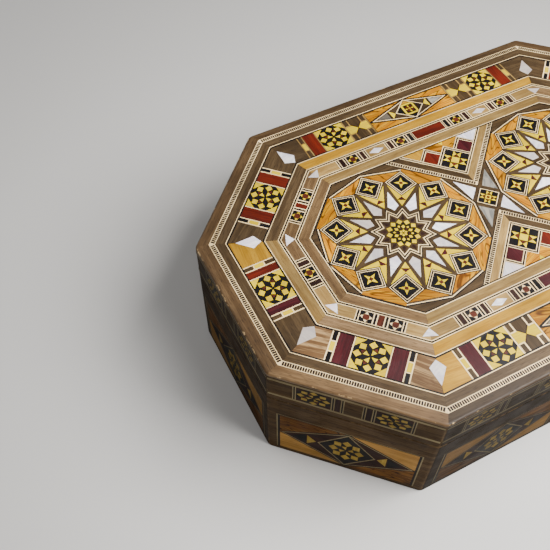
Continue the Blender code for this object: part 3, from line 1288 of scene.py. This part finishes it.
def nacre_group():
    """Mother-of-pearl: cloudy white with pink, cool and tan patches that differ from tile to tile."""
    tree, given, made = new_group(
        "nacre",
        [("Place", VECTOR), ("White", COLOR), ("Blush", COLOR), ("Cool", COLOR), ("Tan", COLOR)],
        [("Color", COLOR), ("Height", FLOAT), ("Roughness", FLOAT)],
    )
    g = Graph(tree)
    place = given.outputs["Place"]
    waves = g.noise(g.stretch(place, (90, 260, 90)), detail=2, distortion=1.8)
    clouds = g.noise(g.stretch(place, (130, 130, 130)), detail=3, distortion=0.6)
    color = g.mix(g.fit(waves, 0.35, 0.65), given.outputs["White"], given.outputs["Cool"])
    color = g.mix(g.fit(clouds, 0.5, 0.75), color, given.outputs["Blush"])
    color = g.mix(g.fit(g.attribute("tone_and_shade"), 0.0, 0.55, 0.7, 0.0), color, given.outputs["Tan"])
    shade = g.fit(g.attribute("tone_and_shade"), 0.0, 0.8, 0.4, 1.0, smooth=False)
    rim = g.fit(g.attribute("rim"), 0.2, 1.0, 1.0, 0.5)
    shade = g.math("MULTIPLY", shade, rim)
    g.feed(made.inputs["Color"], g.mix(1.0, color, shade_color(g, shade), "MULTIPLY"))
    g.feed(made.inputs["Height"], waves)
    g.feed(made.inputs["Roughness"], g.fit(clouds, 0.3, 0.7, 0.18, 0.3))
    return tree


def pearl_material(title, *colors):
    material, shader, g = new_material(title, 0.3, 0.5)
    nacre = g.node("ShaderNodeGroup", node_tree=groups["nacre"])
    g.feed(nacre.inputs["Place"], g.node("ShaderNodeUVMap", uv_map="grain").outputs[0])
    for socket, color in zip(("White", "Blush", "Cool", "Tan"), colors):
        nacre.inputs[socket].default_value = rgb(*color)
    g.feed(shader.inputs["Base Color"], nacre.outputs["Color"])
    g.feed(shader.inputs["Roughness"], nacre.outputs["Roughness"])
    bump(g, shader, nacre.outputs["Height"], 0.00005, 0.3)
    return material


groups = {"timber": timber_group(), "wear": wear_group(), "nacre": nacre_group()}
materials = {}


def wood_material(name, place):
    """The material of one wood on the lid's top or on the walls, made when it is first needed."""
    if (name, place) not in materials:
        if name in PEARLS:
            made = pearl_material(*PEARLS[name])
        elif place == "lid_top":
            made = timber_material(WOODS[name][0], name, RUBBED if name == "walnut_worn" else None)
        else:
            worn = RUBBED_WALL_SHADED if name == "walnut_wall" else None
            made = timber_material(WOODS[name][0] + " on the walls", name, worn, dull=True)
        materials[name, place] = made
    return materials[name, place]


def finish_boards():
    boards = timber_material(WOODS["carcass"][0], "carcass", dull=True, object_grain=True)
    for name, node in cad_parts.items():
        if "veneer" not in name:
            for slot in node.material_slots:
                slot.material = boards


# Stage

FLOOR_REACH = 14.0
FLOOR_GAP = 0.0002
FLOOR_COLOR = (0.62, 0.615, 0.605, 1.0)
SKY_COLOR = (0.94, 0.95, 0.97, 1.0)
WARM = (1.0, 0.975, 0.94)
WHITE = (1.0, 1.0, 1.0)
LIGHTS = (
    # name, place, target, size, power and colour
    ("key", (0.12, -0.18, 0.42), (0.0, -0.03, 0.08), 0.34, 6.8, WARM),
    ("back", (-0.5, 0.9, 1.1), (0, 0, 0.05), 0.8, 4.0, WARM),
    ("fill", (-0.7, -0.9, 0.7), (0, 0, 0.04), 0.8, 2.0, WHITE),
)

# The photo's camera: where it stands, and what runs right, down and ahead in its picture
CAMERA_LENS = 49.56
CAMERA_PLACE = (-0.21552, -0.18462, 0.38138)
CAMERA_RIGHT = (0.892191, -0.451565, -0.009171)
CAMERA_DOWN = (-0.373654, -0.726547, -0.576639)
CAMERA_AHEAD = (0.253726, 0.517899, -0.816948)


def add_floor():
    bm = bmesh.new()
    bmesh.ops.create_grid(bm, x_segments=2, y_segments=2, size=FLOOR_REACH)
    bmesh.ops.translate(bm, verts=bm.verts, vec=(0, 0, -FLOOR_GAP))
    mesh = bpy.data.meshes.new("floor")
    bm.to_mesh(mesh)
    bm.free()
    floor = bpy.data.objects.new("floor", mesh)
    bpy.context.scene.collection.objects.link(floor)
    material = bpy.data.materials.new("pale floor")
    material.use_nodes = True
    shader = material.node_tree.nodes["Principled BSDF"]
    shader.inputs["Base Color"].default_value = FLOOR_COLOR
    shader.inputs["Roughness"].default_value = 0.9
    mesh.materials.append(material)


def add_light(name, place, target, size, power, color):
    data = bpy.data.lights.new(name, "AREA")
    data.size = size
    data.energy = power
    data.color = color
    light = bpy.data.objects.new(name, data)
    light.location = place
    light.rotation_euler = (Vector(target) - Vector(place)).to_track_quat("-Z", "Y").to_euler()
    bpy.context.scene.collection.objects.link(light)


def add_camera():
    data = bpy.data.cameras.new("camera")
    data.sensor_width = 36.0
    data.lens = CAMERA_LENS
    camera = bpy.data.objects.new("camera", data)
    axes = Matrix((CAMERA_RIGHT, -Vector(CAMERA_DOWN), -Vector(CAMERA_AHEAD)))
    camera.matrix_world = Matrix.Translation(CAMERA_PLACE) @ axes.transposed().to_4x4()
    bpy.context.scene.collection.objects.link(camera)
    bpy.context.scene.camera = camera


def add_stage():
    add_floor()
    for light in LIGHTS:
        add_light(*light)
    world = bpy.data.worlds.new("studio")
    world.use_nodes = True
    sky = world.node_tree.nodes["Background"]
    sky.inputs["Color"].default_value = SKY_COLOR
    sky.inputs["Strength"].default_value = 0.18
    bpy.context.scene.world = world


add_camera()
finish_boards()
lid_top()
for side_number in range(8):
    body_wall(side_number)
    lid_wall(side_number)
make_tiles()
walnut_skins()
add_stage()
